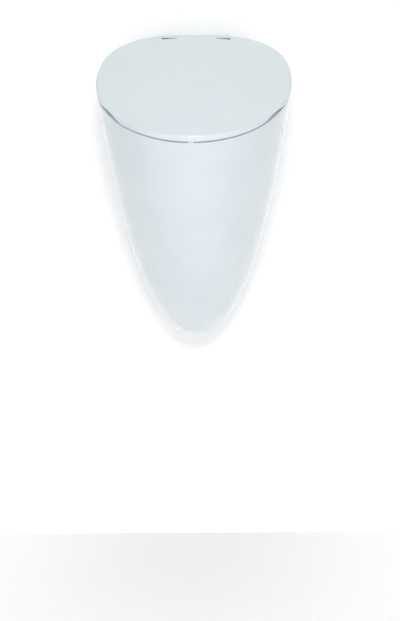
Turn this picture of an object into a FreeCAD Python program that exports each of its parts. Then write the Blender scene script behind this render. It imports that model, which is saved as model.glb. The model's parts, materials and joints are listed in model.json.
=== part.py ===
"""Wall hung urinal with a soft-closing lid.

Frame: millimetres, +Z up.  The wall is the plane Y = 0 and the bowl stands out
towards -Y.  The origin lies on the wall, midway between the two wall fixings.
In the sheet, heights are counted up from the lowest tip of the ceramic and
depths outwards from the wall.
"""

import FreeCAD
import Part

import math
import os

import Sketcher

SIZES = {
    # Form of the ceramic: half width, front and widest place grow with height
    "half_width": 150.0,
    "half_width_height": 429.0,
    "half_width_power": 0.392,
    "depth": 315.0,
    "tip_depth": 30.0,
    "depth_power": 0.55,
    "widest_depth": 164.0,
    "widest_height": 510.0,
    "widest_power": 1.8,
    "widest_share": 0.6,
    "rear_reach": 195.0,
    "shell_wall": 11.0,
    "trim": 8.0,
    "overshoot": 5.0,
    # Rim: a shallow arc in side view, from the wall down to the front lip
    "rim_height": 480.0,
    "lip_height": 368.0,
    "rim_radius": 5000.0,
    "rim_outer_round": 1.0,
    "rim_inner_round": 7.0,
    "deck_thickness": 13.0,
    # Bowl
    "rim_wall": 23.0,
    "bowl_wall": 13.0,
    "bowl_back": 76.0,
    "bowl_floor": 119.0,
    "bowl_rounding": 150.0,
    "bowl_skin": 12.0,
    "bowl_squareness": 1.4,
    "outlet_depth": 106.0,
    "outlet_seat": 30.0,
    "outlet_hole": 22.0,
    "hollow_floor": 16.0,
    # Wall fixings, for M8 studs
    "fixing_height": 390.0,
    "fixing_spacing": 140.0,
    "pillar_radius": 16.0,
    "fixing_seat": 77.0,
    "bush_bore": 4.5,
    "bush_radius": 7.0,
    "bush_flange": 12.0,
    "bush_flange_thick": 3.0,
    "spot_gap": 1.5,
    # Gaps between pieces that turn, slip over each other or stand clear
    "running_gap": 0.05,
    "slip_gap": 0.2,
    "loose_gap": 0.3,
    # Flush inlet
    "inlet_height": 419.0,
    "inlet_hole": 18.0,
    "spud_start": 3.0,
    "spud_socket_length": 24.0,
    "spud_socket": 16.0,
    "spud_radius": 20.0,
    "spud_flange": 25.0,
    "spud_flange_thick": 5.0,
    "spud_tube": 17.0,
    "spud_bore": 13.0,
    "spud_end": 86.0,
    "inlet_gasket_thick": 4.0,
    "seal_start": 5.0,
    "seal_width": 5.0,
    "seal_depth": 2.5,
    "spreader_gasket_thick": 2.0,
    "spreader_radius": 24.0,
    "spreader_length": 19.0,
    "spreader_wall": 3.0,
    "spreader_round": 5.0,
    "slot_radius": 10.0,
    "slot_length": 7.0,
    "slot_width": 4.0,
    # Outlet and trap
    "strainer_radius": 27.0,
    "strainer_thick": 2.0,
    "strainer_neck": 21.0,
    "strainer_neck_length": 9.0,
    "strainer_neck_wall": 2.0,
    "sieve_hole": 2.2,
    "sieve_ring_inner": 9.5,
    "sieve_ring_outer": 15.0,
    "screw_radius": 3.0,
    "screw_head": 6.0,
    "screw_head_height": 3.0,
    "screw_length": 34.0,
    "outlet_gasket_thick": 4.0,
    "trap_flange": 35.0,
    "trap_flange_thick": 4.0,
    "trap_radius": 17.0,
    "trap_bore": 14.5,
    "trap_bend_height": 84.0,
    "trap_rise_depth": 45.0,
    "trap_elbow": 21.0,
    "funnel_rim": 2.0,
    "funnel_length": 10.0,
    "arm_length": 36.0,
    "arm_width": 6.0,
    "arm_thick": 8.0,
    "boss_radius": 6.5,
    "waste_height": 129.0,
    "waste_start": 2.0,
    "waste_bore": 25.0,
    "waste_radius": 31.0,
    "waste_length": 20.0,
    "waste_wall": 3.0,
    "waste_seal_width": 6.0,
    # Hinge: the axis crosses the rear deck
    "hinge_depth": 27.0,
    "hinge_spacing": 86.0,
    "axis_lift": 12.1,
    "barrel_radius": 9.5,
    "knuckle_radius": 8.0,
    "knuckle_width": 22.0,
    "stem_radius": 9.0,
    "notch_width": 23.6,
    "notch_reach": 13.0,
    "knuckle_front": 4.5,
    "cap_radius": 9.0,
    "spindle_radius": 3.0,
    "spindle_inboard": 21.0,
    "spindle_outboard": 17.0,
    "damper_radius": 6.0,
    "damper_length": 24.0,
    "damper_cap": 2.0,
    "rosette_radius": 10.0,
    "rosette_thick": 1.8,
    "stud_radius": 3.0,
    "stud_length": 40.0,
    "stud_hole": 5.0,
    "stud_cover": 1.2,
    "bushing_length": 10.0,
    "bushing_flange": 3.0,
    "washer_radius": 8.5,
    "washer_thick": 1.5,
    "nut_radius": 5.5,
    "nut_height": 7.0,
    "wing_rise": 3.0,
    "wing_reach": 12.0,
    "wing_thick": 2.5,
    # Lid
    "lid_gap": 2.5,
    "lid_inset": -0.3,
    "lid_front_height": 12.0,
    "lid_top_radius": 1000.0,
    "lid_cross_radius": 700.0,
    "lid_wall": 5.0,
    "lid_skirt": 6.5,
    "lid_edge_round": 5.0,
    "lid_rear_radius": 700.0,
    "lid_hollow_radius": 4000.0,
    "lid_corner_round": 85.0,
    "lid_beam": 16.0,
    "grip_start": 212.0,
    "grip_top_start": 236.0,
    "grip_top_end": 250.0,
    "grip_end": 267.0,
    "grip_rise": 4.7,
    "buffer_width": 9.0,
    "buffer_length": 6.0,
    "buffer_round": 2.0,
    "buffer_inset": 2.5,
    "side_buffer_depth": 120.0,
    # Reach of the blocks that only trim others
    "block": 400.0,
}

doc = FreeCAD.newDocument("urinal")
sheet = doc.addObject("Spreadsheet::Sheet", "Sizes")
for row, (alias, value) in enumerate(SIZES.items(), start=1):
    sheet.set(f"A{row}", alias)
    sheet.set(f"B{row}", str(value))
    sheet.setAlias(f"B{row}", alias)
doc.recompute()

X = FreeCAD.Vector(1, 0, 0)
Y = FreeCAD.Vector(0, 1, 0)
Z = FreeCAD.Vector(0, 0, 1)
OUT = FreeCAD.Vector(0, -1, 0)
SIDES = {"left": -1, "right": 1}


def size(alias):
    """One size from the sheet, as a plain number."""
    return float(sheet.get(alias))


def point(x, depth, height):
    """Place given by its offset across, its depth from the wall and its height."""
    return FreeCAD.Vector(x, -depth, height - size("fixing_height"))


def total(terms):
    """Value of a sum such as "spud_start + seal_start - 2"."""
    value = 0.0
    sign = 1.0
    for term in terms.split():
        if term in "+-":
            sign = -1.0 if term == "-" else 1.0
        else:
            value += sign * (size(term) if term in SIZES else float(term))
    return value


def bound(terms):
    """The same sum as an expression on the sheet's aliases."""
    return " ".join(f"Sizes.{term}" if term in SIZES else term for term in terms.split())


# ---------------------------------------------------------------- features

def profile_sketch(body, corners):
    """Closed outline on the body's XZ plane, each corner bound to the sheet."""
    sketch = body.newObject("Sketcher::SketchObject", "Profile")
    plane = next(o for o in body.Origin.OriginFeatures if o.Role == "XZ_Plane")
    sketch.AttachmentSupport = [(plane, "")]
    sketch.MapMode = "FlatFace"
    places = [FreeCAD.Vector(total(across), total(along), 0) for across, along in corners]
    for start, end in zip(places, places[1:] + places[:1]):
        sketch.addGeometry(Part.LineSegment(start, end))
    for index in range(len(places)):
        following = (index + 1) % len(places)
        sketch.addConstraint(Sketcher.Constraint("Coincident", index, 2, following, 1))
    for index, (place, corner) in enumerate(zip(places, corners)):
        for kind, axis, value, terms in (("DistanceX", -2, place.x, corner[0]),
                                         ("DistanceY", -1, place.y, corner[1])):
            if abs(value) < 1e-9:
                sketch.addConstraint(Sketcher.Constraint("PointOnObject", index, 1, axis))
                continue
            number = sketch.addConstraint(Sketcher.Constraint(kind, -1, 1, index, 1, value))
            sketch.setExpression(f"Constraints[{number}]", bound(terms))
    return sketch


def turned(label, placement, corners):
    """Body revolved about its own Z axis from (radius, height) corners."""
    body = doc.addObject("PartDesign::Body", label)
    sketch = profile_sketch(body, corners)
    turn = body.newObject("PartDesign::Revolution", "Turn")
    turn.Profile = sketch
    turn.ReferenceAxis = (sketch, ["V_Axis"])
    turn.Angle = 360
    body.Placement = placement
    return body


def ring(label, placement, inner, outer, start, end):
    """Turned body of rectangular section."""
    return turned(label, placement, [(inner, start), (outer, start), (outer, end), (inner, end)])


def solid_feature(label, shape, placement=FreeCAD.Placement()):
    """Plain feature that holds one computed solid."""
    feature = doc.addObject("Part::Feature", label)
    feature.Shape = shape
    feature.Placement = placement
    return feature


def facing(place, direction):
    """Placement at a place, with its own Z turned to a direction."""
    return FreeCAD.Placement(place, FreeCAD.Rotation(Z, direction))


def rod(place, direction, radius, length):
    """Plain cylinder from a place along a direction."""
    return Part.makeCylinder(radius, length, place, direction)


# ---------------------------------------------------------------- form of the ceramic

def half_width(height):
    """Half the ceramic's width at a height."""
    grown = (height / size("half_width_height")) ** size("half_width_power")
    return size("half_width") * grown


def front_depth(height):
    """How far the ceramic's front stands from the wall at a height."""
    reach = size("depth") - size("tip_depth")
    return size("tip_depth") + reach * (height / size("lip_height")) ** size("depth_power")


def widest_depth(height):
    """Distance from the wall of the widest place at a height."""
    rest = 1.0 - height / size("widest_height")
    return size("widest_depth") * (1.0 - rest ** size("widest_power"))


def arc_centre(rear_depth, rear_height, front, front_height, radius):
    """Centre (depth, height) of the arc that bulges up between two side-view points."""
    run = front - rear_depth
    rise = front_height - rear_height
    chord = math.hypot(run, rise)
    drop = math.sqrt(radius ** 2 - chord ** 2 / 4)
    depth = (rear_depth + front) / 2 + drop * rise / chord
    height = (rear_height + front_height) / 2 - drop * run / chord
    return depth, height


RIM_CENTRE = arc_centre(0.0, size("rim_height"), size("depth"), size("lip_height"), size("rim_radius"))


def rim_height(depth, lift=0.0):
    """Height of the rim, or of a face that lies a little above it."""
    radius = size("rim_radius") + lift
    return RIM_CENTRE[1] + math.sqrt(radius ** 2 - (depth - RIM_CENTRE[0]) ** 2)


def rim_tilt(depth):
    """Slope of the rim at a depth, in degrees."""
    return math.degrees(math.asin((depth - RIM_CENTRE[0]) / size("rim_radius")))


def under_rim(lift):
    """Everything below a face that follows the rim at a distance."""
    half = size("block") / 2
    return rod(point(-half, *RIM_CENTRE), X, size("rim_radius") + lift, 2 * half)


def before_wall():
    """Everything on the room's side of the wall."""
    block = size("block")
    corner = FreeCAD.Vector(-block, -block, -2 * block)
    return Part.makeBox(2 * block, block, 4 * block, corner)


def smooth_wire(points, closing=True):
    """Smooth curve through points, closed along the wall by a straight edge."""
    curve = Part.BSplineCurve()
    if closing:
        curve.interpolate(points)
        return Part.Wire([curve.toShape(), Part.makeLine(points[-1], points[0])])
    curve.interpolate(Points=points, PeriodicFlag=True)
    return Part.Wire([curve.toShape()])


def right_outline(wide, front, middle, wall):
    """Right half of a level outline: a quarter ellipse, then an arc back to the wall."""
    outline = []
    for step in range(13):
        angle = math.radians(90.0 - 90.0 * step / 12)
        outline.append((wide * math.cos(angle), middle + (front - middle) * math.sin(angle)))
    for step in range(1, 7):
        depth = middle + (wall - middle) * step / 6
        narrowing = math.sqrt(1.0 - ((middle - depth) / size("rear_reach")) ** 2)
        outline.append((wide * narrowing, depth))
    return outline


def outer_section(height, inset=0.0, wall=0.0):
    """Level outline of the ceramic, or of its hollow when it is inset."""
    wide = half_width(height) - inset
    front = front_depth(height) - inset
    middle = min(widest_depth(height), size("widest_share") * front)
    right = right_outline(wide, front, middle, wall)
    points = [point(-x, depth, height) for x, depth in reversed(right)]
    points += [point(x, depth, height) for x, depth in right[1:]]
    return smooth_wire(points)


def bowl_section(height, skin):
    """Level outline of the bowl, or with a skin the outside of its wall."""
    floor = size("bowl_floor") - skin
    rest = max(0.0, 1.0 - (height - floor) / size("bowl_rounding"))
    opened = math.sqrt(1.0 - rest ** 2)
    thick = size("bowl_wall")
    thick += (size("rim_wall") - thick) * (height / size("half_width_height")) ** 3
    if skin:
        thick = -size("overshoot")
    seat = size("outlet_seat") + skin
    wide = seat + (half_width(height) - thick - seat) * opened
    back = size("bowl_back") - skin
    seat_front = size("outlet_depth") + seat
    front = seat_front + (front_depth(height) - thick - seat_front) * opened
    middle = back + (front - back) * (0.5 - 0.1 * opened)
    flat = 2.0 + size("bowl_squareness") * opened
    points = []
    for step in range(32):
        angle = 2.0 * math.pi * step / 32
        across = math.cos(angle)
        along = math.sin(angle)
        power = 1.0 if along > 0 else 2.0 / flat
        reach = front - middle if along > 0 else middle - back
        x = wide * math.copysign(abs(across) ** power, across)
        points.append(point(x, middle + reach * math.copysign(abs(along) ** power, along), height))
    return smooth_wire(points, closing=False)


def loft(sections):
    """Smooth solid through level outlines."""
    return Part.makeLoft(sections, True, False)


def rising(low, high, count, power):
    """Heights from low to high that lie closer together near the bottom."""
    return [low + (high - low) * (step / (count - 1)) ** power for step in range(count)]


def make_bowl_body():
    """The ceramic: an outer form and a hollow back, with the bowl's wall between them."""
    top = size("rim_height") + size("trim")
    behind = -size("overshoot")
    outer = loft([outer_section(h, 0.0, behind) for h in rising(0.5, top, 14, 2.4)])
    outer = outer.common(before_wall())
    hollow_heights = rising(size("hollow_floor"), top, 11, 1.6)
    hollow = loft([outer_section(h, size("shell_wall"), behind) for h in hollow_heights])
    cavity = loft([bowl_section(h, 0.0) for h in rising(size("bowl_floor"), top, 12, 1.8)])
    skin = size("bowl_skin")
    skin_heights = rising(size("bowl_floor") - skin, top, 12, 1.8)
    bowl_outside = loft([bowl_section(h, skin) for h in skin_heights])
    hollow = hollow.common(under_rim(-size("deck_thickness"))).cut(bowl_outside)
    ceramic = outer.common(under_rim(0.0)).cut(hollow)
    seat = size("fixing_seat")
    for side in SIDES.values():
        x = side * size("fixing_spacing") / 2
        foot = point(x, 0, size("fixing_height"))
        pillar = rod(foot, OUT, size("pillar_radius"), size("bowl_back") + size("trim"))
        ceramic = ceramic.fuse(pillar)
    ceramic = ceramic.cut(cavity)
    for side in SIDES.values():
        x = side * size("fixing_spacing") / 2
        foot = point(x, 0, size("fixing_height"))
        hole = rod(foot, OUT, size("bush_radius") + size("loose_gap"), 2 * seat)
        spot_radius = size("bush_flange") + size("spot_gap")
        spot = rod(point(x, seat, size("fixing_height")), OUT, spot_radius, seat)
        ceramic = ceramic.cut(hole).cut(spot)
    inlet = point(0, size("bowl_back") - 2 * skin, size("inlet_height"))
    ceramic = ceramic.cut(rod(inlet, OUT, size("inlet_hole"), 4 * skin))
    outlet = point(0, size("outlet_depth"), size("bowl_floor") + skin)
    ceramic = ceramic.cut(rod(outlet, -Z, size("outlet_hole"), 3 * skin))
    for side in SIDES.values():
        frame = hinge_frame(side)
        drill_top = frame.multVec(Z * skin)
        down = frame.Rotation.multVec(-Z)
        ceramic = ceramic.cut(rod(drill_top, down, size("stud_hole"), 4 * skin))
    ceramic = ceramic.removeSplitter().Solids[0]
    ceramic = ceramic.makeFillet(size("rim_inner_round"), rim_edges(ceramic)["inside"])
    return ceramic.makeFillet(size("rim_outer_round"), rim_edges(ceramic)["outside"])


def rim_edges(ceramic):
    """Long edges of the rim face, those of the outside apart from those of the bowl."""
    centre = point(0, *RIM_CENTRE)
    found = {"outside": [], "inside": []}
    for edge in ceramic.Edges:
        middle = edge.valueAt((edge.FirstParameter + edge.LastParameter) / 2)
        reach = math.hypot(middle.y - centre.y, middle.z - centre.z)
        if abs(reach - size("rim_radius")) > 0.05 or edge.Length < 60 or middle.y > -1:
            continue
        depth = -middle.y
        edge_of_shell = half_width(rim_height(depth)) - 0.7 * size("rim_wall")
        far = abs(middle.x) > edge_of_shell or depth > size("depth") - 0.5 * size("rim_wall")
        found["outside" if far else "inside"].append(edge)
    return found


def hinge_frame(side):
    """Placement on the deck under a hinge, its Z square to the deck."""
    depth = size("hinge_depth")
    place = point(side * size("hinge_spacing") / 2, depth, rim_height(depth))
    return FreeCAD.Placement(place, FreeCAD.Rotation(X, rim_tilt(depth)))


def axis_place(x=0.0):
    """Point of the hinge axis at an offset across."""
    frame = hinge_frame(0)
    return frame.multVec(FreeCAD.Vector(x, 0, size("axis_lift")))


# ---------------------------------------------------------------- lid

def rim_outline(inset, rear_depth):
    """Right half of the rim's outline seen from above, from the lip to a depth."""
    outline = []
    depth = size("depth")
    for step in range(15):
        angle = math.radians(90.0 - 90.0 * step / 14)
        for _ in range(12):
            height = rim_height(depth)
            middle = widest_depth(height)
            reach = front_depth(height) - inset - middle
            depth = middle + reach * math.sin(angle)
        outline.append(((half_width(height) - inset) * math.cos(angle), depth))
    widest = depth
    for step in range(1, 8):
        depth = widest + (rear_depth - widest) * step / 7
        height = rim_height(depth)
        back = (widest_depth(height) - depth) / size("rear_reach")
        outline.append((half_width(height) * math.sqrt(1.0 - back ** 2) - inset, depth))
    return outline


def lid_plan(inset, rear_depth, rear_radius):
    """Upright block with the lid's outline, its rear edge a wide arc."""
    low = size("lip_height") / 2
    right = rim_outline(inset, 1.0)
    points = [point(-x, depth, low) for x, depth in reversed(right)]
    points += [point(x, depth, low) for x, depth in right[1:]]
    block = Part.Face(smooth_wire(points)).extrude(Z * size("block"))
    rear = rod(point(0, rear_depth + rear_radius, low), Z, rear_radius, size("block"))
    return block.common(rear).Solids[0]


def dome(sink):
    """Block under the lid's top, which is curved both along and across."""
    axis = axis_place()
    rear_top = axis.z + size("fixing_height") + size("barrel_radius")
    front = size("depth") - size("lid_inset")
    front_top = rim_height(front) + size("lid_front_height")
    along = size("lid_top_radius")
    across = size("lid_cross_radius") - sink
    depth, height = arc_centre(-axis.y, rear_top, front, front_top, along)
    along -= sink
    reach = size("half_width") + 4 * size("overshoot")
    drop = across - math.sqrt(across ** 2 - reach ** 2)
    centre = point(0, depth, height)
    left = centre + FreeCAD.Vector(-reach, 0, along - drop)
    right = centre + FreeCAD.Vector(reach, 0, along - drop)
    arc = Part.Arc(left, centre + Z * along, right).toShape()
    low = Z * -reach / 2
    outline = [arc, Part.makeLine(right, right + low)]
    outline += [Part.makeLine(right + low, left + low), Part.makeLine(left + low, left)]
    face = Part.Face(Part.Wire(outline))
    face.rotate(centre, X, -6)
    return face.revolve(centre, X, 52)


def upright_corners(plan):
    """The two upright edges where the sides of the lid's plan meet its rear."""
    found = []
    for edge in plan.Edges:
        ends = [vertex.Point for vertex in edge.Vertexes]
        upright = len(ends) == 2 and abs(ends[0].z - ends[1].z) > size("block") / 2
        if upright and abs(ends[0].x) > size("half_width") / 2:
            found.append(edge)
    return found


def top_edges(lid):
    """Edges round the lid's top, well above the rim."""
    found = []
    for edge in lid.Edges:
        middle = edge.valueAt((edge.FirstParameter + edge.LastParameter) / 2)
        above = middle.z + size("fixing_height") - rim_height(-middle.y, size("lid_gap"))
        if above > size("lid_front_height") / 3 and edge.Length > size("lid_front_height"):
            found.append(edge)
    return found


def pivot_form():
    """The space that the lid may fill: a round barrel about its axis and all in front."""
    half = size("block") / 2
    axis = axis_place()
    front = Part.makeBox(2 * half, 2 * half, 4 * half, FreeCAD.Vector(-half, axis.y - 2 * half, -2 * half))
    return front.fuse(rod(axis_place(-half), X, size("barrel_radius"), 2 * half))


def hinge_hollows(side):
    """Notch for the hinge knuckle, and the bores for its damper and its spindle."""
    centre = side * size("hinge_spacing") / 2
    wide = size("notch_width")
    front = size("notch_reach") - axis_place().y
    corner = point(centre - wide / 2, front, size("lip_height") / 2)
    notch = Part.makeBox(wide, 2 * front, size("block"), corner)
    outward = FreeCAD.Vector(side, 0, 0)
    inner_end = axis_place(centre - side * (wide / 2 - 1))
    socket = rod(inner_end, -outward, size("damper_radius"), size("damper_length") + 2)
    outer_end = axis_place(centre + side * (wide / 2 - 1))
    pin_radius = size("spindle_radius") + size("running_gap")
    pin_hole = rod(outer_end, outward, pin_radius, size("spindle_outboard") + 1)
    return [notch, socket, pin_hole]


def grip_recess():
    """Finger recess under the skirt at both sides, that rises to its top and falls again."""
    gap = size("lid_gap")
    rise = size("grip_rise")
    half = size("block") / 2
    ends = [("grip_start", -rise), ("grip_start", 0.0), ("grip_top_start", rise),
            ("grip_top_end", rise), ("grip_end", 0.0), ("grip_end", -rise)]
    corners = [point(-half, size(end), rim_height(size(end), gap) + above) for end, above in ends]
    return Part.Face(Part.makePolygon(corners + corners[:1])).extrude(X * 2 * half)


def make_lid_shell():
    """Moulded lid: domed top, skirt, rear beam with the hinge bores, grip recesses."""
    axis_depth = -axis_place().y
    rear = axis_depth - size("barrel_radius")
    plan = lid_plan(size("lid_inset"), rear, size("lid_rear_radius"))
    plan = plan.makeFillet(size("lid_corner_round"), upright_corners(plan))
    lid = plan.common(dome(0.0)).cut(under_rim(size("lid_gap"))).Solids[0]
    lid = lid.makeFillet(size("lid_edge_round"), top_edges(lid))
    lid = lid.common(pivot_form())
    inset = size("lid_inset") + size("lid_skirt")
    inside = lid_plan(inset, axis_depth + size("lid_beam"), size("lid_hollow_radius"))
    lid = lid.cut(inside.common(dome(size("lid_wall"))))
    for side in SIDES.values():
        for hollow in hinge_hollows(side):
            lid = lid.cut(hollow)
    return lid.cut(grip_recess()).removeSplitter().Solids[0]


def make_buffer(x, depth):
    """Soft pad under the lid's skirt that keeps the gap to the rim open."""
    wide = size("buffer_width")
    long = size("buffer_length")
    corner = point(x - wide / 2, depth + long / 2, rim_height(depth) - 2 * wide)
    block = Part.makeBox(wide, long, 4 * wide, corner)
    upright = [edge for edge in block.Edges if abs(edge.tangentAt(0).z) > 0.9]
    block = block.makeFillet(size("buffer_round"), upright)
    return block.common(under_rim(size("lid_gap"))).cut(under_rim(size("loose_gap"))).Solids[0]


# ---------------------------------------------------------------- hinges

def primitive(kind, name, placement, **measures):
    """Part primitive whose measures are bound to sums of sheet aliases."""
    feature = doc.addObject(f"Part::{kind}", name)
    for measure, terms in measures.items():
        feature.setExpression(measure, bound(terms))
    feature.Placement = placement
    return feature


def joined(kind, label, pieces):
    """Boolean of several features, the first of them the base."""
    result = pieces[0]
    for number, tool in enumerate(pieces[1:], start=1):
        name = label if number == len(pieces) - 1 else f"{label}_step_{number}"
        step = doc.addObject(f"Part::{kind}", name)
        step.Base = result
        step.Tool = tool
        result = step
    return result


def make_hinge(name, side):
    """All pieces of one hinge, placed by its frame on the deck."""
    frame = hinge_frame(side)
    lift = size("axis_lift")
    half = size("knuckle_width") / 2

    def local(x, y, z, rotation=FreeCAD.Rotation()):
        return frame.multiply(FreeCAD.Placement(FreeCAD.Vector(x, y, z), rotation))

    across = FreeCAD.Rotation(Z, X)
    barrel = primitive("Cylinder", f"barrel_{name}", local(-half, 0, lift, across),
                       Radius="knuckle_radius", Height="knuckle_width")
    stem_low = size("rosette_thick") + size("slip_gap")
    stem = primitive("Cylinder", f"stem_{name}", local(0, 0, stem_low),
                     Radius="stem_radius", Height="axis_lift - rosette_thick - slip_gap")
    spindle_hole = primitive("Cylinder", f"spindle_hole_{name}", local(-2 * half, 0, lift, across),
                             Radius="spindle_radius", Height="knuckle_width + knuckle_width")
    stud_hole = primitive("Cylinder", f"stud_hole_{name}", local(0, 0, 0),
                          Radius="stud_radius", Height="axis_lift - spindle_radius - stud_cover")
    front = -size("knuckle_front") - size("block")
    before = primitive("Box", f"barrel_front_{name}", local(-2 * half, front, -half),
                       Length="knuckle_width + knuckle_width", Width="block",
                       Height="block")
    trimmed = joined("Cut", f"trimmed_barrel_{name}", [barrel, before])
    solid = joined("Fuse", f"knuckle_solid_{name}", [trimmed, stem])
    knuckle = joined("Cut", f"hinge_knuckle_{name}", [solid, spindle_hole, stud_hole])
    arch = ring(f"cap_arch_{name}", local(-half, 0, lift, across),
                "knuckle_radius + running_gap", "cap_radius", "0", "knuckle_width")
    over = primitive("Box", f"cap_space_{name}", local(-2 * half, -size("knuckle_front"), lift),
                     Length="knuckle_width + knuckle_width", Width="block", Height="block")
    cap = joined("Common", f"hinge_cap_{name}", [arch, over])

    rosette = ring(f"hinge_rosette_{name}", local(0, 0, size("slip_gap") / 2),
                   "stud_radius + slip_gap", "rosette_radius", "0", "rosette_thick")
    inward = FreeCAD.Rotation(Z, FreeCAD.Vector(-side, 0, 0))
    start = side * (size("knuckle_width") / 2 + size("spindle_outboard"))
    spindle = primitive("Cylinder", f"hinge_spindle_{name}", local(start, 0, lift, inward),
                        Radius="spindle_radius",
                        Height="spindle_outboard + knuckle_width + spindle_inboard")
    damper_start = -side * (size("notch_width") / 2 + size("loose_gap"))
    spindle_fit = "spindle_radius + running_gap"
    damper_floor = "damper_length - damper_cap"
    damper = turned(f"soft_close_damper_{name}", local(damper_start, 0, lift, inward),
                    [(spindle_fit, "0"), ("damper_radius", "0"),
                     ("damper_radius", "damper_length"), ("0", "damper_length"),
                     ("0", damper_floor), (spindle_fit, damper_floor)])
    down = FreeCAD.Rotation(X, 180)
    top = size("axis_lift") - size("spindle_radius") - size("stud_cover")
    stud = primitive("Cylinder", f"hinge_stud_{name}", local(0, 0, top, down),
                     Radius="stud_radius", Height="stud_length")
    flange_top = -size("deck_thickness") - size("slip_gap") / 2
    flange_end = "bushing_length + bushing_flange"
    bushing = turned(f"stud_bushing_{name}", local(0, 0, flange_top + size("bushing_length"), down),
                     [("stud_radius + slip_gap", "0"), ("stud_hole - loose_gap", "0"),
                      ("stud_hole - slip_gap", "bushing_length"), ("washer_radius", "bushing_length"),
                      ("washer_radius", flange_end), ("stud_radius + slip_gap", flange_end)])
    washer_top = flange_top - size("bushing_flange")
    washer = ring(f"stud_washer_{name}", local(0, 0, washer_top, down),
                  "stud_radius + slip_gap", "washer_radius", "0", "washer_thick")
    nut_top = washer_top - size("washer_thick")
    hub = primitive("Cylinder", f"nut_hub_{name}", local(0, 0, nut_top, down),
                    Radius="nut_radius", Height="nut_height")
    wing_low = nut_top - size("nut_height") - size("wing_rise")
    wings = primitive("Box", f"nut_wings_{name}",
                      local(-size("wing_reach"), -size("wing_thick") / 2, wing_low),
                      Length="wing_reach + wing_reach", Width="wing_thick", Height="nut_height")
    thread = primitive("Cylinder", f"nut_thread_{name}", local(0, 0, nut_top + size("wing_rise"), down),
                       Radius="stud_radius", Height="nut_height + nut_height + wing_rise")
    nut_solid = joined("Fuse", f"nut_solid_{name}", [hub, wings])
    nut = joined("Cut", f"wing_nut_{name}", [nut_solid, thread])
    return [knuckle, cap, rosette, spindle, damper, stud, bushing, washer, nut]


# ---------------------------------------------------------------- fixings, inlet and outlet

def make_fixing_bush(name, side):
    """Flanged sleeve that lines one wall fixing hole of the ceramic."""
    place = point(side * size("fixing_spacing") / 2, 0, size("fixing_height"))
    return turned(f"fixing_bush_{name}", facing(place, OUT),
                  [("bush_bore", "0"), ("bush_radius", "0"), ("bush_radius", "fixing_seat"),
                   ("bush_flange", "fixing_seat"), ("bush_flange", "fixing_seat + bush_flange_thick"),
                   ("bush_bore", "fixing_seat + bush_flange_thick")])


def make_inlet():
    """Spud through the back of the bowl, its seals and the spreader that clamps it."""
    start = facing(point(0, 0, size("inlet_height")), OUT)
    hollow_front = "bowl_back - bowl_skin"
    shoulder = f"{hollow_front} - inlet_gasket_thick"
    groove = "spud_start + seal_start"
    spud = turned("inlet_spud", start,
                  [("spud_socket", "spud_start"), ("spud_radius", "spud_start"),
                   ("spud_radius", f"{shoulder} - spud_flange_thick"),
                   ("spud_flange", f"{shoulder} - spud_flange_thick"),
                   ("spud_flange", shoulder), ("spud_tube", shoulder), ("spud_tube", "spud_end"),
                   ("spud_bore", "spud_end"), ("spud_bore", "spud_start + spud_socket_length"),
                   ("spud_socket", "spud_start + spud_socket_length"),
                   ("spud_socket", f"{groove} + seal_width"),
                   ("spud_socket + seal_depth", f"{groove} + seal_width"),
                   ("spud_socket + seal_depth", groove), ("spud_socket", groove)])
    lip_seal = ring("inlet_lip_seal", start, "spud_socket", "spud_socket + seal_depth",
                    groove, f"{groove} + seal_width")
    gasket = ring("inlet_gasket", start, "spud_tube", "spud_flange", shoulder, hollow_front)
    cup = "bowl_back + spreader_gasket_thick"
    spreader_gasket = ring("spreader_gasket", start, "spud_tube", "spreader_radius - running_gap",
                           "bowl_back + loose_gap", cup)
    spreader = turned("spreader_cup", start,
                      [("spud_tube", cup), ("spreader_radius", cup),
                       ("spreader_radius", f"{cup} + spreader_length - spreader_round"),
                       ("spreader_radius - spreader_round", f"{cup} + spreader_length"),
                       ("0", f"{cup} + spreader_length"),
                       ("0", f"{cup} + spreader_length - spreader_wall"),
                       ("spud_tube", f"{cup} + spreader_length - spreader_wall")])
    middle = point(0, total(f"{cup} + spreader_length - spreader_radius + spud_tube"), size("inlet_height"))
    offset = FreeCAD.Vector(-size("slot_length") / 2, -size("slot_width") / 2, size("slot_radius"))
    slots = []
    for number, angle in enumerate((-60, -30, 0, 30, 60)):
        downward = FreeCAD.Placement(middle, FreeCAD.Rotation(Y, 180 + angle))
        place = downward.multiply(FreeCAD.Placement(offset, FreeCAD.Rotation()))
        slots.append(primitive("Box", f"spreader_slot_{number}", place, Length="slot_length",
                               Width="slot_width", Height="spreader_radius"))
    cut = joined("Cut", "flush_spreader", [spreader] + slots)
    return [spud, lip_seal, gasket, spreader_gasket, cut]


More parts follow.
